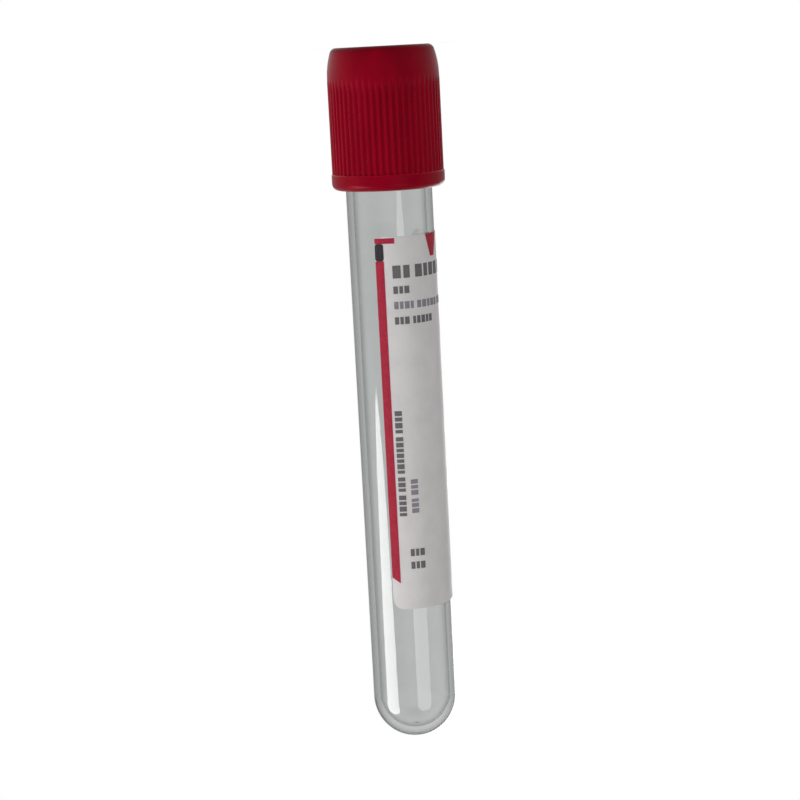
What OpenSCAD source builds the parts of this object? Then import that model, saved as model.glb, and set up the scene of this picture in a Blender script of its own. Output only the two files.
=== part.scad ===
// Blood collection tube with a ribbed safety cap, standing on the flat top of the cap, which is
// the only face that it can stand on unheld: lying, it rolls, and its other end is round.
// Millimetres. +Z is up, from the cap to the round bottom, the front faces -Y, and the origin is
// on the ground, on the tube's axis. Inside each module the tube is the other way up, with its
// round bottom at 0 and the cap above it.

/* [Tube] */
// Outer diameter of the tube
tube_od = 13; // [12:0.5:16]
// Length of the tube, from the tip of its round bottom to its rim
tube_length = 100; // [92:1:120]
// Thickness of the side wall
tube_wall = 1; // [0.7:0.1:1.3]
// Thickness of the wall at the tip of the round bottom
bottom_wall = 1.2; // [0.8:0.1:2]
// Chamfer on the two edges of the rim
rim_chamfer = 0.25; // [0.1:0.05:0.3]

/* [Stopper] */
// Length of the plug that sits in the tube
plug_length = 10; // [8:0.5:14]
// Radial clearance of the plug in the tube
plug_clearance = 0.03; // [0.02:0.01:0.08]
// Chamfer on the plug's leading edge
plug_chamfer = 0.6; // [0.2:0.1:0.9]
// Height of the flange that covers the rim
flange_height = 4.6; // [3.6:0.1:6]
// How far the flange reaches out past the tube
flange_overhang = 0.9; // [0.85:0.05:1.3]
// Gap between the flange and the rim
seat_gap = 0.05; // [0.02:0.01:0.1]
// Diameter of the needle well in the top
well_d = 6.4; // [6:0.1:7.5]
// Depth of the needle well
well_depth = 2.4; // [1.5:0.1:3]
// Diameter of the hollow in the plug's underside
hollow_d = 6.4; // [6:0.1:7]
// Depth of the hollow, to the top of its dome
hollow_depth = 7; // [6:0.5:8]

/* [Cap] */
// Height of the cap, from its lower edge to its flat top
cap_height = 21; // [17:0.5:26]
// Thickness of the top deck that covers the stopper
deck_thickness = 2.3; // [1.5:0.1:3.5]
// Diameter of the needle port through the deck
port_d = 9; // [8:0.5:10]
// Fillet on the port's outer edge
port_fillet = 0.5; // [0.2:0.1:0.8]
// Clearance of the cap round the stopper's flange
flange_clearance = 0.05; // [0.03:0.01:0.1]
// Radial gap between the tube and the ledge that holds the flange
ledge_gap = 0.6; // [0.55:0.05:0.7]
// Height of that ledge
ledge_height = 1.4; // [1:0.1:2.5]
// Radial gap between the tube and the skirt
skirt_gap = 0.75; // [0.72:0.01:0.85]
// Wall outside the flange, at the foot of the grooves
cap_wall = 0.67; // [0.6:0.01:1.2]
// How far the ribs stand out of the grooves
rib_height = 0.26; // [0.15:0.01:0.35]
// Number of ribs round the cap
rib_count = 56; // [40:1:64]
// Width of a rib at its foot
rib_foot = 0.52; // [0.4:0.02:0.56]
// Width of a rib at its crest
rib_crest = 0.3; // [0.2:0.02:0.36]
// Height of the plain band at the lower edge
band_height = 2.4; // [2:0.05:4]
// How far the band stands out of the grooves
band_rise = 0.38; // [0.36:0.01:0.6]
// Rounding of the band's lower edge
band_round = 1; // [0.6:0.05:1.1]
// Height of the smooth shoulder above the ribs
shoulder_height = 4.4; // [3.5:0.1:7]
// How far the shoulder's foot stands out of the grooves
shoulder_rise = 0.23; // [0.1:0.01:0.3]
// Radius of the shoulder's long curve
shoulder_curve = 12; // [11:0.5:30]
// Rounding of the top edge
top_round = 1; // [0.4:0.05:1.3]

/* [Label] */
// Width of the label, along its curve
label_w = 19.7; // [16:0.1:26]
// Height of the label
label_h = 57; // [54:0.5:62]
// Thickness of the paper
label_thickness = 0.1; // [0.06:0.01:0.2]
// Radial gap that the adhesive fills
adhesive_gap = 0.02; // [0.01:0.01:0.05]
// Bare wall between the cap and the label
label_drop = 6.8; // [4:0.1:9]
// Rounding of the label's corners
label_corner = 1.5; // [0.5:0.1:2.5]
// Angle round the tube from its front to the label's left edge
label_start = -22.7; // [-180:0.1:180]

/* [Print] */
// Thickness of the printed fields
ink_thickness = 0.04; // [0.02:0.01:0.08]
// Bare paper above the tick
tick_drop = 0.2; // [0:0.1:0.6]
// Width of the stripe down the left edge, and of the dark block on it
stripe_w = 1.3; // [0.8:0.1:1.8]
// Where the stripe ends, above the label's lower edge
stripe_stop = 4.1; // [3:0.1:8]
// Height of the slant that ends the stripe
stripe_slant = 0.9; // [0.2:0.1:1.2]
// Length of the tick across the top of the stripe
tick_w = 3; // [2:0.1:4]
// Height of that tick
tick_h = 0.8; // [0.4:0.1:1.2]
// Height of the dark block below the tick
block_h = 2.6; // [2:0.1:3.5]
// Width of the fill mark at the label's upper edge
mark_top = 3.2; // [2:0.1:4.5]
// Width of the fill mark's lower end
mark_tip = 1.1; // [0.5:0.1:1.5]
// Height of the fill mark
mark_h = 3.4; // [2.5:0.1:3.8]
// Left margin of the rows that stand for text
row_margin = 2.5; // [2:0.1:3]
// Height of the heading row
heading_h = 1.9; // [1.2:0.1:2.2]
// Height of the small rows
row_h = 1.1; // [0.6:0.1:1.3]
// Distance from one row to the next
row_pitch = 2.3; // [2:0.1:2.4]
// Distance from the label's upper edge to the heading row
heading_drop = 4.3; // [4:0.1:5.5]
// Width of the gap between two words of a small row
word_gap = 0.6; // [0.3:0.1:0.8]
// Distance from the label's upper edge to the row that runs down beside the stripe
side_row_drop = 26.2; // [20:0.2:28]
// Distance from the label's upper edge to the short row next to it
side_note_drop = 36.8; // [32:0.2:40]
// Distance from the label's upper edge to the two words on the volume
volume_drop = 47.6; // [45:0.2:49]
// Distance from the label's upper edge to the upper boxes on the right
box_drop = 14.4; // [14:0.2:20]
// Distance from the label's upper edge to the lower boxes on the right
low_box_drop = 43; // [38:0.2:44]
// Width of those boxes
box_w = 1.8; // [1:0.1:2.2]
// Bare paper to the right of them
box_margin = 1.1; // [0.5:0.1:2]

/* [Hidden] */
$fn = 96;

tube_r = tube_od / 2;
bore_r = tube_r - tube_wall;

plug_r = bore_r - plug_clearance;
flange_r = tube_r + flange_overhang;
flange_z = tube_length + seat_gap;
stopper_top = flange_z + flange_height;

cavity_r = flange_r + flange_clearance;
deck_z = stopper_top + flange_clearance;
cap_top = deck_z + deck_thickness;
cap_z = cap_top - cap_height;
ledge_r = tube_r + ledge_gap;
skirt_r = tube_r + skirt_gap;
groove_r = cavity_r + cap_wall;
rib_r = groove_r + rib_height;
band_r = groove_r + band_rise;
shoulder_r = groove_r + shoulder_rise;
shoulder_z = cap_top - shoulder_height;
shoulder_lead = 0.4; // length of the slope from the grooves out to the shoulder
rib_run = 0.5; // length over which a rib fades out at its upper end
rib_root = 0.2; // how deep a rib is rooted in the cap's wall
rib_over = 0.1; // how far a rib's profile is drawn past its crest, before the crests are turned round
band_ledge = 0.12; // chamfer on the band's upper edge

label_r = tube_r + adhesive_gap;
paper_r = label_r + label_thickness;
label_top = cap_z - label_drop;
corner_reach = 0.03; // how far the rounding of the label's corners runs out past its edges
mark_s = label_w / 2; // the fill mark is centred on the label
block_low = tick_drop + tick_h + block_h; // lower end of the dark block
block_corner = 0.4; // rounding of that block
side_row_s = row_margin - 0.8; // the row that runs down beside the stripe
side_note_s = row_margin + row_h; // the short row next to it
volume_s = row_margin + row_h / 2; // the two words on the volume
box_s = label_w - box_margin - box_w; // the boxes down the right side
heading_gap = 1.5 * word_gap; // gap between two words of the heading or on the volume

// Lengths of the words in each row, in reading order.
heading_words = [2.6, 5.2, 3.4];
first_words = [2.4];
second_words = [3, 4.2, 2.4];
third_words = [2.2, 3.6];
side_row_words = [3.4, 5.6, 2.2, 3.2];
side_note_words = [2.4, 2.2];
box_lengths = [4.4, 4.4, 4.4];
low_box_lengths = [4.2, 4.2];

// The two words on the volume stand one below the other.
volume_heights = [1.1, 1.1];
volume_w = 2.2;

over = 1; // how far a cutting shape runs past what it cuts

// Centre of the rounding of the cap's top edge, which runs on from the shoulder's long curve.
edge_z = cap_top - top_round;
shoulder_swing = asin((edge_z - shoulder_z) / (shoulder_curve - top_round));
edge_r = shoulder_r - shoulder_curve + (shoulder_curve - top_round) * cos(shoulder_swing);

// Points along an arc round [x, y], from angle a0 to a1.
function arc(x, y, r, a0, a1, steps) =
    [for (i = [0:steps]) let(a = a0 + (a1 - a0) * i / steps) [x + r * cos(a), y + r * sin(a)]];

// Angle, at the label's face, of a distance along its curve.
function turn(s) = s / paper_r * 180 / PI;

// Turns the tube over, so that it stands on its cap.
module on_its_cap() {
    translate([0, 0, cap_top])
        rotate([0, 180, 0])
            children();
}

// Turns angle 0 to the label's left edge, with the label running on at rising angles.
module at_label() {
    rotate([0, 0, label_start - 90])
        children();
}

module tube() {
    color([0.86, 0.9, 0.9, 0.35])
    on_its_cap()
    difference() {
        union() {
            translate([0, 0, tube_r])
                sphere(r = tube_r);
            translate([0, 0, tube_r])
                cylinder(r = tube_r, h = tube_length - tube_r - rim_chamfer);
            translate([0, 0, tube_length - rim_chamfer])
                cylinder(r1 = tube_r, r2 = tube_r - rim_chamfer, h = rim_chamfer);
        }
        translate([0, 0, bottom_wall + bore_r])
            sphere(r = bore_r);
        translate([0, 0, bottom_wall + bore_r])
            cylinder(r = bore_r, h = tube_length);
        translate([0, 0, tube_length - rim_chamfer])
            cylinder(r1 = bore_r, r2 = bore_r + 2 * rim_chamfer, h = 2 * rim_chamfer);
    }
}

// The rubber: a hollow plug, a flange that covers the rim and a well for the needle.
module stopper() {
    plug_z = tube_length - plug_length;
    hollow_r = hollow_d / 2;
    color([0.42, 0.05, 0.08])
    on_its_cap()
    difference() {
        union() {
            translate([0, 0, plug_z])
                cylinder(r1 = plug_r - plug_chamfer, r2 = plug_r, h = plug_chamfer);
            translate([0, 0, plug_z + plug_chamfer])
                cylinder(r = plug_r, h = plug_length - plug_chamfer + seat_gap);
            translate([0, 0, flange_z])
                cylinder(r = flange_r, h = flange_height);
        }
        translate([0, 0, plug_z - over])
            cylinder(r = hollow_r, h = hollow_depth - hollow_r + over);
        translate([0, 0, plug_z + hollow_depth - hollow_r])
            sphere(r = hollow_r);
        translate([0, 0, stopper_top - well_depth])
            cylinder(r = well_d / 2, h = well_depth + over);
    }
}

// The cap's shell in section: up the outside, over the top and down the inside.
module cap_section() {
    port_r = port_d / 2;
    polygon(concat(
        [[skirt_r, cap_z]],
        arc(band_r - band_round, cap_z + band_round, band_round, -90, 0, 6),
        [[band_r, cap_z + band_height - band_ledge],
         [band_r - band_ledge, cap_z + band_height],
         [groove_r, cap_z + band_height],
         [groove_r, shoulder_z - shoulder_lead]],
        arc(shoulder_r - shoulder_curve, shoulder_z, shoulder_curve, 0, shoulder_swing, 5),
        arc(edge_r, edge_z, top_round, shoulder_swing, 90, 6),
        arc(port_r + port_fillet, cap_top - port_fillet, port_fillet, 90, 180, 4),
        [[port_r, deck_z],
         [cavity_r, deck_z],
         [cavity_r, tube_length],
         [ledge_r, tube_length],
         [ledge_r, tube_length - ledge_height],
         [skirt_r, tube_length - ledge_height - (skirt_r - ledge_r)]]
    ));
}

// The space that the ribs fill, in section, with the fade at their upper ends.
module rib_section() {
    foot = groove_r - rib_root;
    low = cap_z + band_height - rib_root;
    high = shoulder_z - shoulder_lead / 2;
    polygon([[foot, low], [rib_r, low], [rib_r, high - rib_run], [groove_r, high], [foot, high]]);
}

module ribs() {
    intersection() {
        rotate_extrude()
            rib_section();
        for (i = [0:rib_count - 1])
            rotate([0, 0, 360 * i / rib_count])
                translate([groove_r, 0, cap_z])
                    linear_extrude(height = cap_height)
                        polygon([[-2 * rib_root, -rib_foot / 2], [0, -rib_foot / 2],
                                 [rib_height + rib_over, -rib_crest / 2],
                                 [rib_height + rib_over, rib_crest / 2],
                                 [0, rib_foot / 2], [-2 * rib_root, rib_foot / 2]]);
    }
}

module cap() {
    color([0.4, 0.02, 0.06])
    on_its_cap()
    union() {
        rotate_extrude()
            cap_section();
        ribs();
    }
}

// A flat shape, drawn as seen from outside with [0, 0] at distance s from the label's left edge
// and h below its upper edge, cut out of a ring of paper or ink that runs from r to r + t.
module stamped(s, h, r, t) {
    intersection() {
        translate([0, 0, label_top - label_h - over])
            difference() {
                cylinder(r = r + t, h = label_h + 2 * over);
                translate([0, 0, -over])
                    cylinder(r = r, h = label_h + 4 * over);
            }
        rotate([0, 0, turn(s)])
            translate([r - over, 0, label_top - h])
                rotate([90, 0, 90])
                    linear_extrude(height = t + 2 * over)
                        children();
    }
}

// A field from s0 to s1 along the label and from h0 to h1 below its upper edge.
module field(s0, s1, h0, h1, r, t) {
    rotate([0, 0, turn(s0)])
        rotate_extrude(angle = turn(s1 - s0))
            translate([r, label_top - h1])
                square([t, h1 - h0]);
}

module ink(s0, s1, h0, h1) {
    field(s0, s1, h0, h1, paper_r, ink_thickness);
}

module rounded_rect(w, h, r) {
    translate([r, 0])
        square([w - 2 * r, h]);
    translate([0, r])
        square([w, h - 2 * r]);
    for (x = [r, w - r], y = [r, h - r])
        translate([x, y])
            circle(r = r);
}

// What a rounded corner leaves of its square, with the label's corner at [0, 0].
module corner_waste() {
    polygon(concat(
        [[-over, -over], [label_corner, -over]],
        arc(label_corner, label_corner, label_corner + corner_reach, -90, -180, 6),
        [[-over, label_corner]]
    ));
}

module label() {
    color([0.86, 0.86, 0.83])
    on_its_cap()
    at_label()
    difference() {
        field(0, label_w, 0, label_h, label_r, label_thickness);
        for (right = [0, 1], low = [0, 1])
            rotate([0, 0, turn(right * label_w)])
                translate([label_r - over, 0, label_top - low * label_h])
                    rotate([90, 0, 90])
                        linear_extrude(height = label_thickness + 2 * over)
                            mirror([right, 0])
                                mirror([0, 1 - low])
                                    corner_waste();
    }
}

// The stripe with its tick, and the fill mark.
module label_red_print() {
    stripe_low = label_h - stripe_stop;
    color([0.66, 0.06, 0.13])
    on_its_cap()
    at_label() {
        ink(0, tick_w, tick_drop, tick_drop + tick_h);
        stamped(stripe_w / 2, stripe_low, paper_r, ink_thickness)
            polygon([[-stripe_w / 2, stripe_slant], [stripe_w / 2, 0],
                     [stripe_w / 2, stripe_low - block_low], [-stripe_w / 2, stripe_low - block_low]]);
        stamped(mark_s, 0, paper_r, ink_thickness)
            polygon([[-mark_top / 2, 0], [-mark_tip / 2, -mark_h],
                     [mark_tip / 2, -mark_h], [mark_top / 2, 0]]);
    }
}

// Sum of a list's first count values.
function sum(list, count) = count == 0 ? 0 : list[count - 1] + sum(list, count - 1);

// Words of the given lengths, one after the other along a row that starts at s and h.
module words(lengths, s, h, high, gap) {
    for (i = [0:len(lengths) - 1])
        let(start = s + i * gap + sum(lengths, i))
            ink(start, start + lengths[i], h, h + high);
}

// The same, in a row that runs down the label.
module words_down(lengths, s, h, wide, gap) {
    for (i = [0:len(lengths) - 1])
        let(start = h + i * gap + sum(lengths, i))
            ink(s, s + wide, start, start + lengths[i]);
}

// Upper edge of small row n, counted from the heading.
function row_drop(n) = heading_drop + heading_h - row_h + n * row_pitch;

// The block on the stripe, the heading and the bolder rows.
module label_dark_print() {
    color([0.13, 0.14, 0.15])
    on_its_cap()
    at_label() {
        stamped(0, block_low, paper_r, ink_thickness)
            rounded_rect(stripe_w, block_h, block_corner);
        words(heading_words, row_margin, heading_drop, heading_h, heading_gap);
        words(first_words, row_margin, row_drop(1), row_h, word_gap);
        words(third_words, row_margin, row_drop(3), row_h, word_gap);
        words_down(side_row_words, side_row_s, side_row_drop, row_h, word_gap);
        words_down(volume_heights, volume_s, volume_drop, volume_w, heading_gap);
    }
}

// The paler rows, and the boxes down the label's right side.
module label_grey_print() {
    color([0.5, 0.5, 0.56])
    on_its_cap()
    at_label() {
        words(second_words, row_margin, row_drop(2), row_h, word_gap);
        words_down(side_note_words, side_note_s, side_note_drop, row_h, word_gap);
        words_down(box_lengths, box_s, box_drop, box_w, word_gap);
        words_down(low_box_lengths, box_s, low_box_drop, box_w, word_gap);
    }
}

tube();
stopper();
cap();
label();
label_red_print();
label_dark_print();
label_grey_print();
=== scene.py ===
"""Blood collection tube with a ribbed safety cap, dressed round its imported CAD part.

The tube stands on the flat top of its cap. Every piece is drawn in millimetres the other way up, with
its round bottom at 0 and the cap above it, and is then turned over in the frame of the part, in metres.
"""

from math import acos, asin, atan2, cos, degrees, pi, radians, sin, sqrt, tan

import bmesh
import bpy
from bpy.props import FloatProperty, FloatVectorProperty, IntProperty, PointerProperty
from mathutils import Matrix, Vector


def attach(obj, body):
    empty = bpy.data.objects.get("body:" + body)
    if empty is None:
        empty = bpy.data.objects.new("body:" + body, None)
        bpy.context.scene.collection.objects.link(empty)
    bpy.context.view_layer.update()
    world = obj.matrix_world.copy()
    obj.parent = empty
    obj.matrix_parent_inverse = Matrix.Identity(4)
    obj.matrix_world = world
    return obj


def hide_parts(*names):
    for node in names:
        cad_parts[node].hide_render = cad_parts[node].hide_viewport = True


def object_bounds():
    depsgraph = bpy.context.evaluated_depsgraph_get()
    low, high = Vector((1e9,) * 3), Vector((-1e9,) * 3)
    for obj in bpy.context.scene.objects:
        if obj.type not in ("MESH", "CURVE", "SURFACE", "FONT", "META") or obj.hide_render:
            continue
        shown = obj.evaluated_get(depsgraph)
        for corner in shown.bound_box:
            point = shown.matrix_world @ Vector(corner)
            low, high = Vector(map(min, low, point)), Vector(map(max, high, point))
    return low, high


bl_info = {
    "name": "Blood Collection Tube",
    "version": (1, 0, 0),
    "blender": (4, 5, 0),
    "location": "3D View > Sidebar > Blood Tube",
    "description": "Builds a clear blood collection tube with its label, stopper and ribbed cap",
    "category": "Object",
}

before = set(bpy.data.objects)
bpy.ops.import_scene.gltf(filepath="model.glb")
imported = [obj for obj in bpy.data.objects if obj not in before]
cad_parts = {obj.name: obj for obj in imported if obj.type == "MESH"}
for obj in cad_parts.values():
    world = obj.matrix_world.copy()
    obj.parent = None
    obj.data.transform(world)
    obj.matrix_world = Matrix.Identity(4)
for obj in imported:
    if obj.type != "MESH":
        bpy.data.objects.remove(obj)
CAD_BOX = [list(corner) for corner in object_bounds()]
MM = 0.001


# ---------------------------------------------------------------------------------------------
# Settings
# ---------------------------------------------------------------------------------------------


def length(name, description, default):
    """A length in millimetres."""
    return FloatProperty(name=name, description=description, default=default, min=0.0, precision=3)


def colour(name, description, default):
    """A linear colour."""
    return FloatVectorProperty(
        name=name, description=description, default=default, subtype="COLOR", size=3, min=0.0, max=1.0
    )


def power(name, description, default):
    """The power of a lamp, in watts."""
    return FloatProperty(name=name, description=description, default=default, min=0.0)


def distance(name, description, default):
    """A distance in metres."""
    return FloatProperty(name=name, description=description, default=default, unit="LENGTH")


def angle(name, description, default):
    """An angle, given here in degrees."""
    return FloatProperty(name=name, description=description, default=radians(default), subtype="ANGLE")


class TubeSettings(bpy.types.PropertyGroup):
    """Sizes in millimetres and the colour of the clear tube."""

    radius: length("Radius", "Outer radius of the tube, in mm", 6.5)
    height: length("Length", "From the tip of the round bottom to the rim, in mm", 100.0)
    wall: length("Wall", "Thickness of the side wall, in mm", 1.0)
    bottom: length("Bottom", "Thickness of the wall at the tip of the round bottom, in mm", 1.2)
    rim_round: length("Rim rounding", "Rounding of the rim's two edges, in mm", 0.22)
    gate_radius: length("Gate mark radius", "Radius of the moulding mark on the tip, in mm", 0.9)
    gate_depth: length("Gate mark depth", "Depth of the moulding mark on the tip, in mm", 0.08)
    tint: colour("Tint", "What the clear plastic lets through face on", (0.85, 0.868, 0.858))
    # Edge: the tone where the wall is seen edge-on, partly painted shade.
    edge: colour("Edge", "What it lets through along the wall", (0.15, 0.17, 0.16))
    passes: colour("Lamplight", "What each face lets through of the lamps' light", (0.93, 0.94, 0.935))


class StopperSettings(bpy.types.PropertyGroup):
    """Sizes in millimetres and the colour of the rubber stopper."""

    plug_radius: length("Plug radius", "Radius of the plug in the tube, in mm", 5.47)
    plug_length: length("Plug length", "Length of the plug in the tube, in mm", 10.0)
    plug_taper: length("Plug lead-in", "Chamfer on the plug's leading edge, in mm", 0.6)
    flange_radius: length("Flange radius", "Radius of the flange over the rim, in mm", 7.4)
    flange_height: length("Flange height", "Height of the flange over the rim, in mm", 4.6)
    seat_gap: length("Seat gap", "Gap between the flange and the rim, in mm", 0.05)
    well_radius: length("Well radius", "Radius of the needle well, in mm", 3.2)
    well_depth: length("Well depth", "Depth of the needle well, in mm", 2.4)
    hollow_radius: length("Hollow radius", "Radius of the hollow under the plug, in mm", 3.2)
    hollow_depth: length("Hollow depth", "Depth of the hollow, to the top of its dome, in mm", 7.0)
    rubber: colour("Rubber", "Colour of the rubber", (0.20, 0.018, 0.026))


class CapSettings(bpy.types.PropertyGroup):
    """Sizes in millimetres and the colour of the ribbed cap."""

    height: length("Height", "From the lower edge to the flat top, in mm", 21.0)
    top: length("Top", "Height of the flat top above the tube's tip, in mm", 107.0)
    deck: length("Deck", "Thickness of the deck over the stopper, in mm", 2.3)
    port_radius: length("Port radius", "Radius of the needle port, in mm", 4.5)
    groove_radius: length("Groove radius", "Radius at the foot of the grooves, in mm", 8.12)
    rib_height: length("Rib height", "How far the ribs stand out of the grooves, in mm", 0.26)
    rib_foot: length("Rib foot", "Width of a rib at its foot, in mm", 0.78)
    rib_crest: length("Rib crest", "Width of a rib at its crest, in mm", 0.22)
    rib_count: IntProperty(name="Ribs", description="Number of ribs round the cap", default=56, min=3)
    band_radius: length("Band radius", "Radius of the plain band, in mm", 8.5)
    band_height: length("Band height", "Height of the plain band, in mm", 2.4)
    shoulder_radius: length("Shoulder radius", "Radius at the shoulder's foot, in mm", 8.35)
    shoulder_height: length("Shoulder height", "Height of the smooth shoulder, in mm", 4.4)
    plastic: colour("Plastic", "Colour of the moulded plastic", (0.195, 0.0005, 0.0085))


class LabelSettings(bpy.types.PropertyGroup):
    """Sizes in millimetres and the colours of the label and its print."""

    width: length("Width", "Width along the curve, in mm", 19.7)
    height: length("Height", "Height along the tube, in mm", 57.0)
    top: length("Top", "Height of the upper edge above the tube's tip, in mm", 79.2)
    paper_radius: length("Face radius", "Radius of the paper's outer face, in mm", 6.62)
    thickness: length("Thickness", "Thickness of the paper, in mm", 0.1)
    corner: length("Corner", "Rounding of the corners, in mm", 1.5)
    start: angle("Start", "Angle round the tube from its front to the label's left edge", -22.7)
    ink: length("Ink", "Thickness of the printed fields, in mm", 0.04)
    paper: colour("Paper", "Colour of the paper", (0.55, 0.528, 0.530))
    crimson: colour("Crimson", "Colour of the stripe and the marks", (0.31, 0.013, 0.034))
    black: colour("Black", "Colour of the bold print", (0.024, 0.020, 0.026))
    grey: colour("Grey", "Colour of the paler print", (0.20, 0.185, 0.21))


class StageSettings(bpy.types.PropertyGroup):
    """The floor, the light and the camera."""

    floor: colour("Floor", "Colour of the floor", (0.86, 0.86, 0.86))
    key: power("Key", "Power of the lamp in front, on the right, in watts", 2.20)
    fill: power("Fill", "Power of the lamp in front, on the left, in watts", 0.80)
    back: power("Back", "Power of the lamp behind, in watts", 0.80)
    sky: FloatProperty(name="Sky", description="Strength of the light from all round", default=0.42, min=0.0)
    away: distance("Distance", "Distance of the camera in front of the tube", 0.295)
    eye: distance("Eye", "Height of the camera above the floor", 0.0003)
    lean: angle("Lean", "Lean of the tube in the picture", 3.0)
    lens: FloatProperty(name="Lens", description="Focal length of the camera, in mm", default=88.0, min=10.0)


class BloodTubeSettings(bpy.types.PropertyGroup):
    """All settings of the blood collection tube."""

    tube: PointerProperty(type=TubeSettings)
    stopper: PointerProperty(type=StopperSettings)
    cap: PointerProperty(type=CapSettings)
    label: PointerProperty(type=LabelSettings)
    stage: PointerProperty(type=StageSettings)


# ---------------------------------------------------------------------------------------------
# Place
# ---------------------------------------------------------------------------------------------


def on_its_cap(settings):
    """The matrix that scales an upright tube in millimetres to metres and stands it on its cap."""
    turned = Matrix.Translation((0, 0, settings.cap.top)) @ Matrix.Rotation(pi, 4, "Y")
    return Matrix.Scale(MM, 4) @ turned


# ---------------------------------------------------------------------------------------------
# Mesh helpers
# ---------------------------------------------------------------------------------------------


HOLD = 0.04  # how far from a rounding a straight keeps a point
ON_AXIS = 1e-6  # a smaller radius than this counts as none


def arc(x, y, r, a0, a1, steps):
    """Points along an arc round (x, y), from angle a0 to a1 in degrees."""
    angles = [radians(a0 + (a1 - a0) * i / steps) for i in range(steps + 1)]
    return [(x + r * cos(a), y + r * sin(a)) for a in angles]


def rounded(corners, steps=4):
    """Rounds the corners (x, y, radius) of a line.

    Close to each rounding the straight keeps a point, which holds the shading flat up to there.
    """
    points = []
    for i, (x, y, r) in enumerate(corners):
        if r == 0:
            points.append((x, y))
            continue
        here = Vector((x, y))
        before = Vector(corners[i - 1][:2]) - here
        after = Vector(corners[i + 1][:2]) - here
        back, on = before.normalized(), after.normalized()
        half = acos(max(-1.0, min(1.0, back.dot(on)))) / 2
        cut = r / tan(half)
        centre = here + (back + on).normalized() * (r / sin(half))
        start, end = here + back * cut, here + on * cut
        a0 = atan2(*(start - centre).yx)
        a1 = atan2(*(end - centre).yx)
        sweep = (a1 - a0 + pi) % (2 * pi) - pi
        if before.length > cut + 2 * HOLD:
            points.append(tuple(start + back * HOLD))
        points += arc(centre.x, centre.y, r, degrees(a0), degrees(a0 + sweep), steps)
        if after.length > cut + 2 * HOLD:
            points.append(tuple(end + on * HOLD))
    return points


def eased(share):
    """A smooth step from 0 to 1."""
    share = max(0.0, min(1.0, share))
    return share * share * (3 - 2 * share)


def new_piece(name, mesh_maker, material):
    """A mesh object at the origin, filled by mesh_maker, with one material."""
    mesh = bpy.data.meshes.new(name)
    bm = bmesh.new()
    mesh_maker(bm)
    bm.to_mesh(mesh)
    bm.free()
    mesh.materials.append(material)
    piece = bpy.data.objects.new(name, mesh)
    bpy.context.scene.collection.objects.link(piece)
    return piece


def lathe(bm, line, columns):
    """Turns a line of (radius, height) round Z. A point on the axis becomes a pole."""
    rings = []
    for r, z in line:
        if r < ON_AXIS:
            rings.append([bm.verts.new((0, 0, z))])
        else:
            turns = [2 * pi * i / columns for i in range(columns)]
            rings.append([bm.verts.new((r * cos(a), r * sin(a), z)) for a in turns])
    for low, high in zip(rings, rings[1:]):
        for i in range(columns):
            j = (i + 1) % columns
            corners = [low[i % len(low)], low[j % len(low)], high[j % len(high)], high[i % len(high)]]
            bm.faces.new(list(dict.fromkeys(corners)))


def smooth(bm):
    """Shades all faces smooth."""
    for face in bm.faces:
        face.smooth = True


# ---------------------------------------------------------------------------------------------
# Materials
# ---------------------------------------------------------------------------------------------


# How much of the white all round, as the camera sees it, shows in gloss and through clear plastic.
WHITE_SHARE = 0.18
# Radii in metres between which the floor's shadow gives way to white.
SHADOW_ZONE = (0.009, 0.017)
# How white the floor looks nearer to the tube than that zone.
SHADOW_WHITE = 0.55
# Radii in metres between which the floor stops letting light through to the top of the cap.
CLEAR_ZONE = (0.0078, 0.0092)


class Wire:
    """A shader socket on which arithmetic adds Math nodes."""

    def __init__(self, shader, socket):
        self.shader = shader
        self.socket = socket

    def math(self, operation, first, second):
        return self.shader.node("ShaderNodeMath", {"operation": operation}, {0: first, 1: second})

    def __add__(self, other):
        return self.math("ADD", self, other)

    def __radd__(self, other):
        return self.math("ADD", other, self)

    def __sub__(self, other):
        return self.math("SUBTRACT", self, other)

    def __rsub__(self, other):
        return self.math("SUBTRACT", other, self)

    def __mul__(self, other):
        return self.math("MULTIPLY", self, other)

    def __rmul__(self, other):
        return self.math("MULTIPLY", other, self)


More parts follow.
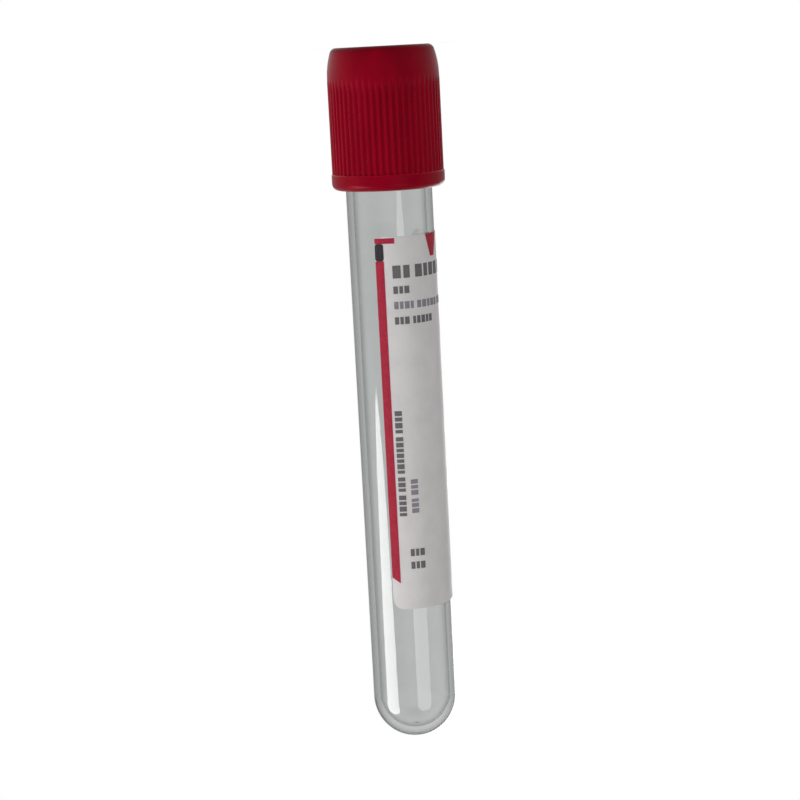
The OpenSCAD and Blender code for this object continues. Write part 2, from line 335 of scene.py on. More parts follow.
class Shader:
    """A node tree of a material or a world."""

    def __init__(self, owner):
        owner.use_nodes = True
        self.tree = owner.node_tree
        self.tree.nodes.clear()

    def node(self, kind, settings, sockets, out=0):
        """Adds a node, sets its settings, then its sockets' values or links, and gives one output."""
        made = self.tree.nodes.new(kind)
        for name, value in settings.items():
            setattr(made, name, value)
        for name, value in sockets.items():
            if isinstance(value, Wire):
                self.tree.links.new(value.socket, made.inputs[name])
            else:
                made.inputs[name].default_value = value
        return Wire(self, made.outputs[out]) if made.outputs else None

    def place(self, scale=(1.0, 1.0, 1.0)):
        """Object coordinates in millimetres, stretched."""
        at = self.node("ShaderNodeTexCoord", {}, {}, "Object")
        stretch = [s / MM for s in scale]
        return self.node("ShaderNodeMapping", {}, {"Vector": at, "Scale": stretch})

    def noise(self, at, scale, detail, roughness=0.5):
        """Noise from 0 to 1."""
        sockets = {"Vector": at, "Scale": scale, "Detail": detail, "Roughness": roughness}
        return self.node("ShaderNodeTexNoise", {}, sockets, "Fac")

    def between(self, value, low, high, first=0.0, last=1.0):
        """Maps value smoothly from low..high to first..last."""
        sockets = {"Value": value, "From Min": low, "From Max": high, "To Min": first, "To Max": last}
        return self.node("ShaderNodeMapRange", {"interpolation_type": "SMOOTHSTEP"}, sockets)

    def blend(self, share, first, second):
        """Mixes two colours."""
        sockets = {0: share, 6: opaque(first), 7: opaque(second)}
        return self.node("ShaderNodeMix", {"data_type": "RGBA"}, sockets, 2)

    def bump(self, height, depth, strength):
        """A normal that follows a height, with its depth in metres."""
        sockets = {"Height": height, "Distance": depth, "Strength": strength}
        return self.node("ShaderNodeBump", {}, sockets)

    def ray(self, kind):
        """1 for rays of a kind, such as Camera or Glossy, and 0 for others."""
        return self.node("ShaderNodeLightPath", {}, {}, f"Is {kind} Ray")

    def white(self):
        """How much a ray sees of the white all round."""
        return self.ray("Camera") + (self.ray("Glossy") + self.ray("Transmission")) * WHITE_SHARE

    def principled(self, sockets):
        return self.node("ShaderNodeBsdfPrincipled", {}, sockets)

    def surface(self, shader):
        self.node("ShaderNodeOutputMaterial", {}, {"Surface": shader})


def opaque(shade):
    """A colour with full alpha, or the link that gives one."""
    return shade if isinstance(shade, Wire) else (*shade, 1.0)


def scaled(shade, factor):
    """A colour made lighter or darker."""
    return tuple(min(1.0, c * factor) for c in shade)


def new_shader(name):
    """A new material and its node tree."""
    material = bpy.data.materials.new(name)
    return material, Shader(material)


def clear_polyester(tube):
    """Clear moulded polyester with faint flow lines, a light haze and fine rubs.

    Its tone is deeper where the wall is seen edge-on. Part of that comes from the longer path through the
    plastic, and part is painted shade for the darker room that a real tube shows bent through its edges.
    Lamplight passes straight through it to what lies behind.
    """
    material, shader = new_shader("clear_polyester")
    lines = shader.noise(shader.place((0.9, 0.9, 0.03)), 1.0, 2.0)
    haze = shader.noise(shader.place(), 0.09, 3.0, 0.6)
    rubs = shader.noise(shader.place((3.0, 3.0, 0.08)), 1.0, 2.0)
    along = shader.node("ShaderNodeLayerWeight", {}, {"Blend": 0.5}, "Facing")
    tone = shader.blend(shader.between(haze, 0.35, 0.7), tube.tint, scaled(tube.tint, 0.96))
    # Painted shade in part: the tone turns to the edge colour where the wall is seen edge-on.
    tone = shader.blend(shader.between(along, 0.42, 0.85), tone, tube.edge)
    rough = 0.03 + shader.between(haze, 0.4, 0.75, 0.0, 0.03)
    rough = rough + shader.between(rubs, 0.62, 0.75, 0.0, 0.04)
    plastic = shader.principled(
        {
            "Base Color": tone,
            "Roughness": rough,
            "IOR": 1.57,
            "Transmission Weight": 1.0,
            "Normal": shader.bump(lines, 0.00003, 0.2),
        }
    )
    lamplight = shader.node("ShaderNodeBsdfTransparent", {}, {"Color": opaque(tube.passes)})
    shadow = shader.ray("Shadow")
    shader.surface(shader.node("ShaderNodeMixShader", {}, {0: shadow, 1: plastic, 2: lamplight}))
    return material


def moulded_plastic(plastic):
    """Satin moulded plastic with soft flow marks and a fine grain, with a painted highlight on the rib
    crests and the band's upper edge, which are also smoother.
    """
    material, shader = new_shader("cap_plastic")
    flow = shader.noise(shader.place((0.25, 0.25, 0.10)), 1.0, 3.0, 0.55)
    grain = shader.noise(shader.place(), 7.0, 2.0)
    # Painted highlight: the crest attribute marks the rib crests and the band's upper edge, which are made
    # paler as if they caught the light.
    crest = shader.node("ShaderNodeAttribute", {"attribute_name": "crest"}, {}, "Fac")
    tone = shader.blend(shader.between(flow, 0.3, 0.7), scaled(plastic, 0.90), scaled(plastic, 1.10))
    tone = shader.blend(crest * 0.8, tone, scaled(plastic, 1.7))
    rough = 0.28 + shader.between(grain, 0.3, 0.7, -0.04, 0.05)
    rough = rough + shader.between(flow, 0.3, 0.7, 0.0, 0.05)
    shader.surface(
        shader.principled(
            {
                "Base Color": tone,
                "Roughness": rough - crest * 0.08,
                "IOR": 1.5,
                "Specular IOR Level": 0.22,
                "Specular Tint": (1.0, 0.10, 0.16, 1.0),
                "Normal": shader.bump(grain, 0.00003, 0.35),
            }
        )
    )
    return material


def butyl_rubber(rubber):
    """Matt rubber with a dusty bloom and a fine orange-peel grain."""
    material, shader = new_shader("butyl_rubber")
    bloom = shader.noise(shader.place(), 0.6, 4.0, 0.6)
    grain = shader.noise(shader.place(), 5.0, 3.0)
    tone = shader.blend(shader.between(bloom, 0.35, 0.75), rubber, [c * 1.2 + 0.012 for c in rubber])
    shader.surface(
        shader.principled(
            {
                "Base Color": tone,
                "Roughness": 0.62 + shader.between(bloom, 0.3, 0.7, -0.06, 0.12),
                "Specular IOR Level": 0.25,
                "Normal": shader.bump(grain, 0.00005, 0.4),
            }
        )
    )
    return material


def label_paper(paper):
    """Coated label paper with faint clouding and fibres that run along it."""
    material, shader = new_shader("label_paper")
    cloud = shader.noise(shader.place(), 0.35, 3.0, 0.55)
    fibre = shader.noise(shader.place((5.5, 5.5, 1.2)), 1.0, 3.0, 0.6)
    tone = shader.blend(shader.between(cloud, 0.3, 0.7), scaled(paper, 0.955), scaled(paper, 1.02))
    tone = shader.blend(shader.between(fibre, 0.55, 0.8) * 0.5, tone, scaled(paper, 0.90))
    shader.surface(
        shader.principled(
            {
                "Base Color": tone,
                "Roughness": 0.46 + shader.between(cloud, 0.3, 0.7, -0.05, 0.06),
                "Specular IOR Level": 0.3,
                "Normal": shader.bump(fibre, 0.00002, 0.5),
            }
        )
    )
    return material


def printed_ink(name, ink, paper):
    """Ink, slightly uneven and thinner where the print is fine, with the paper's grain showing through."""
    material, shader = new_shader(name)
    pale = shader.node("ShaderNodeAttribute", {"attribute_name": "pale"}, {}, "Fac")
    cloud = shader.noise(shader.place(), 0.9, 3.0, 0.55)
    grain = shader.noise(shader.place(), 9.0, 2.0)
    tone = shader.blend(shader.between(cloud, 0.3, 0.7), scaled(ink, 0.92), scaled(ink, 1.08))
    tone = shader.blend(shader.between(grain, 0.58, 0.78) * 0.22 + pale * 0.17, tone, paper)
    shader.surface(
        shader.principled(
            {
                "Base Color": tone,
                "Roughness": 0.48 + shader.between(grain, 0.3, 0.7, -0.05, 0.06),
                "Specular IOR Level": 0.15,
                "Normal": shader.bump(grain, 0.00001, 0.5),
            }
        )
    )
    return material


def pale_floor(floor):
    """A plain matt floor with the tube's shadow near it, white further out and clear seen from below.

    Under the cap it lets the room's light through, so that the top of the cap isn't black from below.
    """
    material, shader = new_shader("pale_floor")
    at = shader.node("ShaderNodeTexCoord", {}, {}, "Object")
    away = shader.node("ShaderNodeVectorMath", {"operation": "LENGTH"}, {0: at}, "Value")
    matt = shader.node("ShaderNodeBsdfDiffuse", {}, {"Color": opaque(floor)})
    glow = shader.node("ShaderNodeEmission", {}, {"Color": (1.0, 1.0, 1.0, 1.0), "Strength": 1.0})
    share = shader.white() * shader.between(away, *SHADOW_ZONE, SHADOW_WHITE, 1.0)
    above = shader.node("ShaderNodeMixShader", {}, {0: share, 1: matt, 2: glow})
    below = shader.node("ShaderNodeBsdfTransparent", {}, {"Color": (1.0, 1.0, 1.0, 1.0)})
    underside = shader.node("ShaderNodeNewGeometry", {}, {}, "Backfacing")
    clear = underside + (1.0 - shader.ray("Camera")) * shader.between(away, *CLEAR_ZONE, 1.0, 0.0)
    shader.surface(shader.node("ShaderNodeMixShader", {}, {0: clear, 1: above, 2: below}))
    return material


# ---------------------------------------------------------------------------------------------
# Geometry nodes
# ---------------------------------------------------------------------------------------------


class Tree:
    """A geometry node group on an object, with its named inputs set by their identifiers."""

    def __init__(self, name):
        self.group = bpy.data.node_groups.new(name, "GeometryNodeTree")
        self.group.interface.new_socket("Geometry", in_out="INPUT", socket_type="NodeSocketGeometry")
        self.group.interface.new_socket("Geometry", in_out="OUTPUT", socket_type="NodeSocketGeometry")
        self.inputs = self.group.nodes.new("NodeGroupInput")
        self.values = {}

    def input(self, name, kind, value):
        """Adds a named input with its value, and gives the socket to link."""
        socket = self.group.interface.new_socket(name, in_out="INPUT", socket_type=kind)
        self.values[socket.identifier] = value
        return self.inputs.outputs[socket.identifier]

    def node(self, kind, settings, sockets):
        """Adds a node, sets its settings, then its sockets' values or links, and gives its output."""
        made = self.group.nodes.new(kind)
        for name, value in settings.items():
            setattr(made, name, value)
        for name, value in sockets.items():
            if isinstance(value, bpy.types.NodeSocket):
                self.group.links.new(value, made.inputs[name])
            else:
                made.inputs[name].default_value = value
        return made.outputs[0]

    def apply(self, piece, result):
        """Ends the tree, runs it on the piece and keeps the result as the piece's plain mesh."""
        end = self.group.nodes.new("NodeGroupOutput")
        self.group.links.new(result, end.inputs[0])
        modifier = piece.modifiers.new(self.group.name, "NODES")
        modifier.node_group = self.group
        for identifier, value in self.values.items():
            modifier[identifier] = value
        graph = bpy.context.evaluated_depsgraph_get()
        mesh = bpy.data.meshes.new_from_object(piece.evaluated_get(graph))
        piece.modifiers.remove(modifier)
        old, piece.data = piece.data, mesh
        mesh.name = piece.name
        bpy.data.meshes.remove(old)


# ---------------------------------------------------------------------------------------------
# Pieces
# ---------------------------------------------------------------------------------------------


def settings_of(context):
    """The settings kept in the scene."""
    return context.scene.blood_tube


class BuildTube(bpy.types.Operator):
    """Build the clear tube with its round bottom and rolled rim"""

    bl_idname = "blood_tube.build_tube"
    bl_label = "Tube"
    columns = 192  # faces round the tube
    quarter = 54  # faces along a quarter of each round bottom
    mark_flat = 0.7  # how much of the moulding mark's radius is flat

    def execute(self, context):
        settings = settings_of(context)
        tube = settings.tube
        bore = tube.radius - tube.wall

        def shape(bm):
            gate = sqrt(tube.radius**2 - tube.gate_radius**2)
            gate_angle = degrees(asin(tube.gate_radius / tube.radius))
            mark = tube.radius - gate
            flat = tube.gate_radius * self.mark_flat
            line = [(0.0, mark + tube.gate_depth), (flat, mark + tube.gate_depth)]
            line += arc(0.0, tube.radius, tube.radius, -90 + gate_angle, 0, self.quarter)
            rim = [
                (tube.radius, tube.radius + 1, 0),
                (tube.radius, tube.height, tube.rim_round),
                (bore, tube.height, tube.rim_round),
                (bore, tube.bottom + bore + 1, 0),
            ]
            line += rounded(rim, steps=5)
            line += arc(0.0, tube.bottom + bore, bore, 0, -90, self.quarter)[:-1]
            line += [(0.0, tube.bottom)]
            lathe(bm, line, self.columns)
            smooth(bm)
            bm.transform(on_its_cap(settings))

        piece = new_piece("clear_tube", shape, clear_polyester(tube))
        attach(piece, "tube_body")
        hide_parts("tube")
        return {"FINISHED"}


class BuildStopper(bpy.types.Operator):
    """Build the rubber stopper with its flange, needle well and hollow plug"""

    bl_idname = "blood_tube.build_stopper"
    bl_label = "Stopper"
    columns = 128  # faces round the stopper

    def execute(self, context):
        settings = settings_of(context)
        stopper = settings.stopper
        rim = settings.tube.height
        low = rim - stopper.plug_length
        seat = rim + stopper.seat_gap
        top = seat + stopper.flange_height
        floor = top - stopper.well_depth
        dome = low + stopper.hollow_depth - stopper.hollow_radius

        def shape(bm):
            line = arc(0.0, dome, stopper.hollow_radius, 90, 0, 16)
            line[0] = (0.0, line[0][1])
            corners = [
                (*line[-1], 0),
                (stopper.hollow_radius, low, 0.25),
                (stopper.plug_radius - stopper.plug_taper, low, 0.25),
                (stopper.plug_radius, low + stopper.plug_taper, 0.3),
                (stopper.plug_radius, seat, 0.15),
                (stopper.flange_radius, seat, 0.25),
                (stopper.flange_radius, top, 0.4),
                (stopper.well_radius, top, 0.35),
                (stopper.well_radius, floor, 0.5),
                (0.0, floor, 0),
            ]
            line += rounded(corners)[1:]
            lathe(bm, line, self.columns)
            smooth(bm)
            bm.transform(on_its_cap(settings))

        piece = new_piece("rubber_stopper", shape, butyl_rubber(stopper.rubber))
        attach(piece, "stopper_body")
        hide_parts("stopper")
        return {"FINISHED"}


class BuildCap(bpy.types.Operator):
    """Build the cap: one slice with one rib, repeated all round"""

    bl_idname = "blood_tube.build_cap"
    bl_label = "Cap"
    # Lengths in millimetres, the inside first.
    skirt_gap = 0.75  # from the tube to the skirt
    ledge_gap = 0.6  # from the tube to the ledge that holds the flange
    flange_gap = 0.05  # round the stopper's flange
    ledge_height = 1.4
    ledge_slope = 0.15
    foot_round = 1.0  # rounding of the lower edge
    foot_hold = 0.05  # how far over it the band keeps a point
    lip_round = 0.16  # rounding of the band's upper edge
    root = (0.12, 0.1)  # how far the slope between band and grooves reaches out and up
    first_ring = 0.3  # height of the first ring of the grooves over the band
    rib_run = 0.6  # length over which a rib fades out at the shoulder
    shoulder_lead = 2.4  # length over which the grooves rise to the shoulder
    shoulder_curve = 12.0
    top_round = 1.0
    near = 0.03  # how near to a rib's foot the slice has columns
    on_crest = (0.02, 0.05)  # other columns, from a crest's edge and middle
    # Painted highlight on each rib's crest, as a share of the one on the band's upper edge.
    rib_shine = 0.22  # how much paler a rib's crest is, as a share of the band's upper edge
    weld = 0.002  # how far apart two slices' points may be to become one

    def outside(self, cap):
        """The outside in section, from the band up to the flat top, without ribs."""
        low = cap.top - cap.height
        band = low + cap.band_height
        shoulder = cap.top - cap.shoulder_height
        groove = cap.groove_radius
        out, up = self.root
        lip = self.lip_round
        line = [(cap.band_radius, low + self.foot_round + self.foot_hold)]
        line += [(cap.band_radius, band - lip - HOLD)]
        line += arc(cap.band_radius - lip, band - lip, lip, 0, 70, 4)
        line += [(groove + out, band), (groove, band + up)]
        first, last = band + self.first_ring, shoulder - self.shoulder_lead
        line += [(groove, first + (last - first) * i / 6) for i in range(7)]
        for i in range(1, 8):
            rise = (cap.shoulder_radius - groove) * eased(i / 8)
            line.append((groove + rise, shoulder - self.shoulder_lead * (1 - i / 8)))
        swing, flat = self.top_edge(cap)
        line += arc(cap.shoulder_radius - self.shoulder_curve, shoulder, self.shoulder_curve, 1, swing, 7)
        line += arc(flat, cap.top - self.top_round, self.top_round, swing, 90, 9)[1:]
        return line

    def top_edge(self, cap):
        """How many degrees the shoulder's long curve swings in, and the outer radius of the flat top."""
        reach = self.shoulder_curve - self.top_round
        swing = asin((cap.shoulder_height - self.top_round) / reach)
        return degrees(swing), cap.shoulder_radius - self.shoulder_curve + reach * cos(swing)

    def outline(self, settings):
        """The shell in section, without ribs: up the outside, over the top and down the inside."""
        tube, stopper, cap = settings.tube, settings.stopper, settings.cap
        low = cap.top - cap.height
        deck = cap.top - cap.deck
        skirt = tube.radius + self.skirt_gap
        ledge = tube.radius + self.ledge_gap
        cavity = stopper.flange_radius + self.flange_gap
        ledge_z = tube.height - self.ledge_height
        foot = cap.band_radius - self.foot_round
        flat = self.top_edge(cap)[1]
        inside = rounded(
            [
                (flat, cap.top, 0),
                (cap.port_radius, cap.top, 0.5),
                (cap.port_radius, deck, 0.15),
                (cavity, deck, 0.2),
                (cavity, tube.height, 0.1),
                (ledge, tube.height, 0.1),
                (ledge, ledge_z, 0.2),
                (skirt, ledge_z - self.ledge_slope, 0.1),
                (skirt, low, 0.2),
                (foot, low, 0),
            ],
            steps=3,
        )
        edge = arc(foot, low + self.foot_round, self.foot_round, -90, 0, 7)
        return self.outside(cap) + inside[1:-1] + edge

    def execute(self, context):
        settings = settings_of(context)
        cap = settings.cap
        band = cap.top - cap.height + cap.band_height
        shoulder = cap.top - cap.shoulder_height
        groove = cap.groove_radius
        edge = pi * groove / cap.rib_count
        foot, crest = cap.rib_foot / 2, cap.rib_crest / 2
        flank = [(2 * foot + crest) / 3, (foot + 2 * crest) / 3]
        inner, mid = self.on_crest
        half = [edge, foot + self.near, foot - self.near, *flank, crest - inner, mid]
        across = [-x for x in half] + half[::-1]
        outline = self.outline(settings)

        def rise(x):
            """Height of the rib's rounded section at distance x from its middle, from 0 to 1."""
            return eased((foot - abs(x)) / (foot - crest))

        def shape(bm):
            mark = bm.verts.layers.float.new("crest")
            columns = []
            for x in across:
                turn = x / groove
                column = []
                for r, z in outline:
                    ribbed = band <= z < shoulder and groove <= r < groove + cap.rib_height
                    lift = rise(x) * eased((shoulder - z) / self.rib_run) if ribbed else 0.0
                    radius = r + lift * (groove + cap.rib_height - r)
                    vert = bm.verts.new((radius * cos(turn), radius * sin(turn), z))
                    # Painted highlight, kept in the crest attribute: full on the band's upper edge, and a
                    # share of it along each rib's crest.
                    lip = band - self.lip_round < z <= band and r > groove + self.root[0]
                    vert[mark] = 1.0 if lip else self.rib_shine * lift
                    column.append(vert)
                columns.append(column)
            count = len(outline)
            for left, right in zip(columns, columns[1:]):
                for i in range(count):
                    j = (i + 1) % count
                    bm.faces.new((left[i], right[i], right[j], left[j]))
            smooth(bm)

        piece = new_piece("ribbed_cap", shape, moulded_plastic(cap.plastic))
        self.repeat(piece, settings)
        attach(piece, "cap_body")
        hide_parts("cap")
        return {"FINISHED"}

    def repeat(self, piece, settings):
        """Sets the slice once for each rib round the axis, welds the slices and turns the cap over."""
        tree = Tree("Ribbed Cap")
        count = tree.input("Ribs", "NodeSocketInt", settings.cap.rib_count)
        material = tree.input("Material", "NodeSocketMaterial", piece.active_material)
        where, turned, _ = on_its_cap(settings).decompose()
        rest = tree.input("Rest", "NodeSocketVector", where)
        turn = tree.input("Turn", "NodeSocketRotation", turned.to_euler())
        weld = tree.input("Weld", "NodeSocketFloat", self.weld)
        points = tree.node("GeometryNodeMeshLine", {}, {"Count": count, "Offset": (0.0, 0.0, 0.0)})
        index = tree.node("GeometryNodeInputIndex", {}, {})
        share = tree.node("ShaderNodeMath", {"operation": "DIVIDE"}, {0: index, 1: count})
        about = tree.node("ShaderNodeMath", {"operation": "MULTIPLY"}, {0: share, 1: 2 * pi})
        spin = tree.node("ShaderNodeCombineXYZ", {}, {"Z": about})
        around = tree.node("FunctionNodeEulerToRotation", {}, {0: spin})
        slices = tree.node(
            "GeometryNodeInstanceOnPoints",
            {},
            {"Points": points, "Instance": tree.inputs.outputs[0], "Rotation": around},
        )
        real = tree.node("GeometryNodeRealizeInstances", {}, {"Geometry": slices})
        welded = tree.node("GeometryNodeMergeByDistance", {}, {"Geometry": real, "Distance": weld})
        standing = tree.node(
            "GeometryNodeTransform",
            {},
            {"Geometry": welded, "Translation": rest, "Rotation": turn, "Scale": (MM, MM, MM)},
        )
        done = tree.node("GeometryNodeSetMaterial", {}, {"Geometry": standing, "Material": material})
        tree.apply(piece, done)


class Wrap:
    """Places points of the label, at distance s from its left edge and h below its upper edge."""

    step = 0.35  # length of a face along the label's curve, in millimetres

    def __init__(self, settings):
        self.label = settings.label
        self.ink = (self.label.paper_radius, self.label.paper_radius + self.label.ink)
        self.matrix = on_its_cap(settings)

    def point(self, s, h, radius):
        turn = self.label.start - pi / 2 + s / self.label.paper_radius
        return self.matrix @ Vector((radius * cos(turn), radius * sin(turn), self.label.top - h))

    def slab(self, bm, rows, inner, outer):
        """A thin curved solid between two radii. Each row is a list of (s, h) points."""
        sheets = []
        for radius in (inner, outer):
            sheets.append([[bm.verts.new(self.point(s, h, radius)) for s, h in row] for row in rows])
        low, high = sheets
        for a, b in zip(range(len(rows)), range(1, len(rows))):
            for i in range(len(rows[0]) - 1):
                bm.faces.new((low[a][i], low[a][i + 1], low[b][i + 1], low[b][i]))
                bm.faces.new((high[a][i], high[b][i], high[b][i + 1], high[a][i + 1]))
        last = len(rows) - 1
        rim = [(0, i) for i in range(len(rows[0]))]
        rim += [(a, len(rows[0]) - 1) for a in range(1, last + 1)]
        rim += [(last, i) for i in range(len(rows[0]) - 2, -1, -1)]
        rim += [(a, 0) for a in range(last - 1, 0, -1)]
        for (a, i), (b, j) in zip(rim, rim[1:] + rim[:1]):
            bm.faces.new((low[a][i], high[a][i], high[b][j], low[b][j]))

    def card(self, bm, place, size, corner, radii, grid):
        """A wrapped card with rounded corners, its upper left corner at place (s, h)."""
        s, h = place
        width, height = size
        rounds = [corner * (1 - cos(radians(15 * i))) for i in range(7)]
        columns, lines = grid
        middle = [corner + (height - 2 * corner) * i / lines for i in range(1, lines)]
        rows = []
        for drop in rounds + middle + [height - depth for depth in reversed(rounds)]:
            depth = min(drop, height - drop, corner)
            inset = corner - sqrt(max(0.0, corner**2 - (corner - depth) ** 2))
            span = width - 2 * inset
            rows.append([(s + inset + span * i / columns, h + drop) for i in range(columns + 1)])
        self.slab(bm, rows, *radii)

    def field(self, bm, s0, s1, h0, h1):
        """A printed field from s0 to s1 along the label and from h0 to h1 below its upper edge."""
        steps = max(1, round((s1 - s0) / self.step))
        columns = [s0 + (s1 - s0) * i / steps for i in range(steps + 1)]
        self.slab(bm, [[(s, h) for s in columns] for h in (h0, h1)], *self.ink)

    def frame(self, bm, s0, s1, h0, h1, line):
        """A printed frame with lines of the given width, as one closed ring."""
        steps = max(1, round((s1 - s0) / self.step))

        def loop(inset, radius):
            span = s1 - s0 - 2 * inset
            across = [s0 + inset + span * i / steps for i in range(steps + 1)]
            corners = [(s, h0 + inset) for s in across] + [(s, h1 - inset) for s in reversed(across)]
            return [bm.verts.new(self.point(s, h, radius)) for s, h in corners]

        low, high = self.ink
        rings = [loop(0.0, low), loop(0.0, high), loop(line, high), loop(line, low)]
        for a, b in zip(rings, rings[1:] + rings[:1]):
            for i, vert in enumerate(a):
                j = (i + 1) % len(a)
                bm.faces.new((vert, a[j], b[j], b[i]))


class BuildLabel(bpy.types.Operator):
    """Build the paper label that wraps a little under half of the tube"""

    bl_idname = "blood_tube.build_label"
    bl_label = "Label"
    grid = (72, 24)  # faces along the label's curve and down its straight sides

    def execute(self, context):
        settings = settings_of(context)
        label = settings.label
        wrap = Wrap(settings)

        def shape(bm):
            radii = (label.paper_radius - label.thickness, label.paper_radius)
            wrap.card(bm, (0.0, 0.0), (label.width, label.height), label.corner, radii, self.grid)
            bmesh.ops.recalc_face_normals(bm, faces=bm.faces)

        piece = new_piece("paper_label", shape, label_paper(label.paper))
        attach(piece, "tube_body")
        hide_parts("label")
        return {"FINISHED"}


def blocks(words, high, gap):
    """Where the plain blocks of a row of words start and end along the row.

    Widths, and the space between two blocks, are shares of one another and fill each word's length.
    """
    widths = (0.62, 0.50, 0.70, 0.44, 0.58, 0.66, 0.48)
    space = 0.2
    pitch = 0.72 * high
    start = 0.0
    count = 0
    for word in words:
        many = max(2, round(word / pitch))
        row = [widths[(count + i) % len(widths)] for i in range(many)]
        unit = word / (sum(row) + space * (many - 1))
        at = start
        for width in row:
            yield at, at + width * unit
            at += (width + space) * unit
        count += many
        start += word + gap


class BuildPrint(bpy.types.Operator):
    """Build the print: plain blocks in place of words, and frames down the right side"""

    bl_idname = "blood_tube.build_print"
    bl_label = "Print"
    # All in millimetres. A place is how far from the label's left edge and below its upper edge.
    word_gap = 0.6
    wide_gap = 0.9
    small = 1.1  # height of the small rows
    margin = 2.5
    heading = 1.9  # height of the heading
    heading_drop = 4.3
    pitch = 2.3  # from one small row to the next
    side_row = (1.7, 26.2)
    side_note = (3.6, 36.8)
    volume = (3.05, 47.6)
    box = 1.8  # width of the frames down the right side
    box_margin = 1.1
    box_line = 0.16
    box_inset = (0.45, 0.7)  # bare paper beside and above the blocks in a frame
    box_groups = ((14.4, 4.4, 3), (43.0, 4.2, 2))  # drop, length of a frame, count
    patch = (0.0, 1.0)  # place of the rounded block on the stripe
    patch_size = (1.3, 2.6)
    patch_corner = 0.4

    def row(self, bm, wrap, words, place, high=small, gap=word_gap):
        """Blocks in a row along the label."""
        s, h = place
        for start, end in blocks(words, high, gap):
            wrap.field(bm, s + start, s + end, h, h + high)

    def column(self, bm, wrap, words, place):
        """Blocks in a column down the label."""
        s, h = place
        for start, end in blocks(words, self.small, self.word_gap):
            wrap.field(bm, s, s + self.small, h + start, h + end)

    def line(self, n):
        """Place of small row n, counted from the heading."""
        return self.margin, self.heading_drop + self.heading - self.small + n * self.pitch

    def dark(self, bm, wrap):
        """The heading and the bolder rows, marked as fine print, and the rounded block on the stripe."""
        pale = bm.verts.layers.float.new("pale")
        top = (self.margin, self.heading_drop)
        self.row(bm, wrap, (2.6, 5.2, 3.4), top, self.heading, self.wide_gap)
        self.row(bm, wrap, (2.4,), self.line(1))
        self.row(bm, wrap, (2.2, 3.6), self.line(3))
        self.column(bm, wrap, (3.4, 5.6, 2.2, 3.2), self.side_row)
        s, h = self.volume
        for drop in (h, h + self.small + self.wide_gap):
            self.row(bm, wrap, (2.2,), (s, drop))
        for vert in bm.verts:
            vert[pale] = 1.0
        wrap.card(bm, self.patch, self.patch_size, self.patch_corner, wrap.ink, (4, 4))

    def grey(self, bm, wrap):
        """The paler rows, and the frames down the right side with blocks in them."""
        self.row(bm, wrap, (3.0, 4.2, 2.4), self.line(2))
        self.column(bm, wrap, (2.4, 2.2), self.side_note)
        right = wrap.label.width - self.box_margin
        left = right - self.box
        beside, above = self.box_inset
        for drop, length, count in self.box_groups:
            for i in range(count):
                top = drop + i * (length + self.word_gap)
                wrap.frame(bm, left, right, top, top + length, self.box_line)
                for start, end in blocks((length - 2 * above,), self.box - 2 * beside, 0.0):
                    low, high = top + above + start, top + above + end
                    wrap.field(bm, left + beside, right - beside, low, high)

    def execute(self, context):
        settings = settings_of(context)
        label = settings.label
        wrap = Wrap(settings)
        for name, shape, ink in (("dark", self.dark, label.black), ("grey", self.grey, label.grey)):

            def printed(bm, shape=shape):
                shape(bm, wrap)
                bmesh.ops.recalc_face_normals(bm, faces=bm.faces)

            piece = new_piece(f"{name}_print", printed, printed_ink(f"{name}_ink", ink, label.paper))
            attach(piece, "tube_body")
            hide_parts(f"label_{name}_print")
        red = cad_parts["label_red_print"].data
        red.materials.clear()
        red.materials.append(printed_ink("red_ink", label.crimson, label.paper))
        return {"FINISHED"}


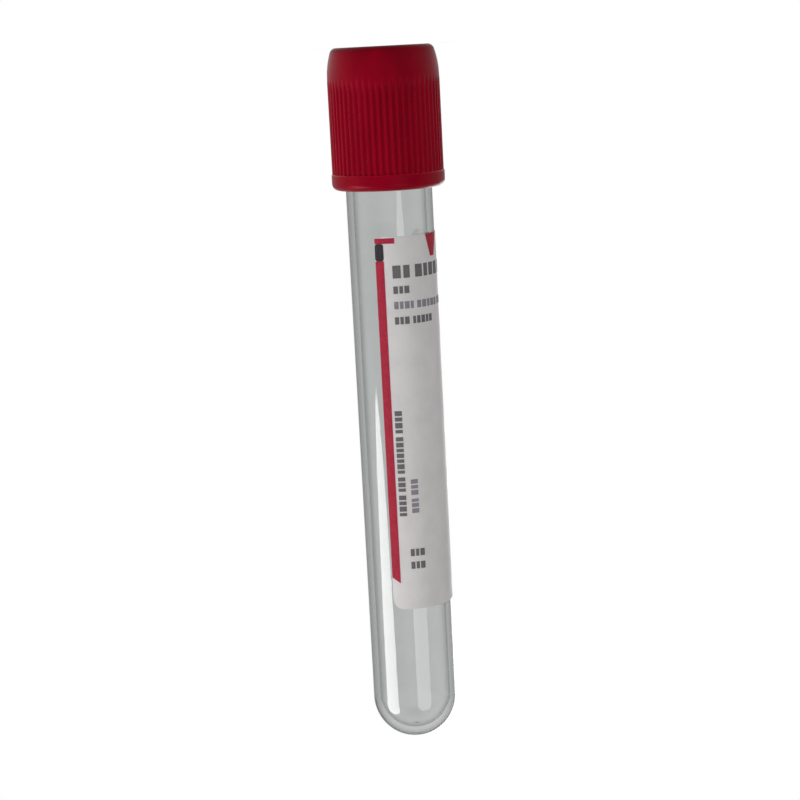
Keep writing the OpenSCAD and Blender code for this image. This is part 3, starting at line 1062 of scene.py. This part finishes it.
class BuildStage(bpy.types.Operator):
    """Build the floor, the light and the camera"""

    bl_idname = "blood_tube.build_stage"
    bl_label = "Stage"
    reach = 20.0  # half the floor's width, in metres
    dim = (0.45, 0.46, 0.455)  # tone of the room's corners
    corners = (0.15, 0.5)  # where they begin and are full
    # Each lamp's name, place and width, in metres.
    lamps = (
        ("key", (0.46, -0.20, 0.30), 0.34),
        ("fill", (-0.22, -0.48, 0.22), 0.36),
        ("back", (-0.16, 0.52, 0.26), 0.36),
    )

    def execute(self, context):
        stage = settings_of(context).stage
        scene = context.scene

        def sheet(bm):
            bmesh.ops.create_grid(bm, x_segments=1, y_segments=1, size=self.reach)

        new_piece("floor", sheet, pale_floor(stage.floor))
        scene.world = self.soft_room(stage)
        for name, place, width in self.lamps:
            scene.collection.objects.link(self.lamp(name, place, width, getattr(stage, name)))
        camera = self.camera(stage)
        scene.collection.objects.link(camera)
        scene.camera = camera
        scene.view_settings.view_transform = "Standard"
        return {"FINISHED"}

    def soft_room(self, stage):
        """Light from all round, dimmer from the four corners of the room, and white to the camera."""
        world = bpy.data.worlds.new("soft_room")
        sky = Shader(world)
        way = sky.node("ShaderNodeTexCoord", {}, {}, "Generated")
        across = sky.node("ShaderNodeSeparateXYZ", {}, {0: way}, "X")
        along = sky.node("ShaderNodeSeparateXYZ", {}, {0: way}, "Y")
        corner = sky.node("ShaderNodeMath", {"operation": "ABSOLUTE"}, {0: across * along})
        tone = sky.blend(sky.between(corner, *self.corners), (1.0, 1.0, 1.0), self.dim)
        lit = sky.node("ShaderNodeBackground", {}, {"Color": tone, "Strength": stage.sky})
        seen = sky.node("ShaderNodeBackground", {}, {"Color": (1.0, 1.0, 1.0, 1.0), "Strength": 1.0})
        mixed = sky.node("ShaderNodeMixShader", {}, {0: sky.white(), 1: lit, 2: seen})
        sky.node("ShaderNodeOutputWorld", {}, {"Surface": mixed})
        return world

    def lamp(self, name, place, width, watts):
        """A round soft lamp that faces the cap and isn't seen through the tube."""
        light = bpy.data.lights.new(name, "AREA")
        light.shape = "DISK"
        light.size = width
        light.energy = watts
        lamp = bpy.data.objects.new(name, light)
        lamp.location = place
        lamp.rotation_euler = Vector(place).to_track_quat("Z", "Y").to_euler()
        lamp.visible_transmission = False
        return lamp

    def camera(self, stage):
        """The camera in front of the tube, rolled half a turn, so that the picture has the cap on top."""
        lens = bpy.data.cameras.new("camera")
        lens.lens = stage.lens
        lens.sensor_width = 36.0
        lens.clip_start = 0.01
        camera = bpy.data.objects.new("camera", lens)
        low, high = (Vector(corner) for corner in CAD_BOX)
        target = (low + high) / 2
        camera.location = (target.x, target.y - stage.away, stage.eye)
        back = (camera.location - target).normalized()
        side = Vector((-1.0, 0.0, 0.0))
        turned = Matrix((side, back.cross(side), back)).transposed()
        camera.rotation_euler = (turned @ Matrix.Rotation(-stage.lean, 3, "Z")).to_euler()
        return camera


class BloodTubePanel(bpy.types.Panel):
    """Settings and build buttons in the sidebar of the 3D view"""

    bl_idname = "VIEW3D_PT_blood_tube"
    bl_label = "Blood Collection Tube"
    bl_space_type = "VIEW_3D"
    bl_region_type = "UI"
    bl_category = "Blood Tube"

    def draw(self, context):
        settings = settings_of(context)
        for group, operator in zip(GROUPS, OPERATORS):
            box = self.layout.box()
            box.operator(operator.bl_idname)
            if group:
                values = getattr(settings, group)
                for name in values.__annotations__:
                    box.prop(values, name)


OPERATORS = (BuildTube, BuildStopper, BuildCap, BuildLabel, BuildPrint, BuildStage)
GROUPS = ("tube", "stopper", "cap", "label", "", "stage")
CLASSES = (
    TubeSettings,
    StopperSettings,
    CapSettings,
    LabelSettings,
    StageSettings,
    BloodTubeSettings,
    *OPERATORS,
    BloodTubePanel,
)


def register():
    """Adds the classes and the settings to Blender."""
    for cls in CLASSES:
        bpy.utils.register_class(cls)
    bpy.types.Scene.blood_tube = PointerProperty(type=BloodTubeSettings)


def unregister():
    """Takes them out again."""
    del bpy.types.Scene.blood_tube
    for cls in reversed(CLASSES):
        bpy.utils.unregister_class(cls)


def main():
    """Builds every piece and the stage."""
    register()
    bpy.ops.blood_tube.build_tube()
    bpy.ops.blood_tube.build_stopper()
    bpy.ops.blood_tube.build_cap()
    bpy.ops.blood_tube.build_label()
    bpy.ops.blood_tube.build_print()
    bpy.ops.blood_tube.build_stage()


if __name__ == "__main__":
    main()
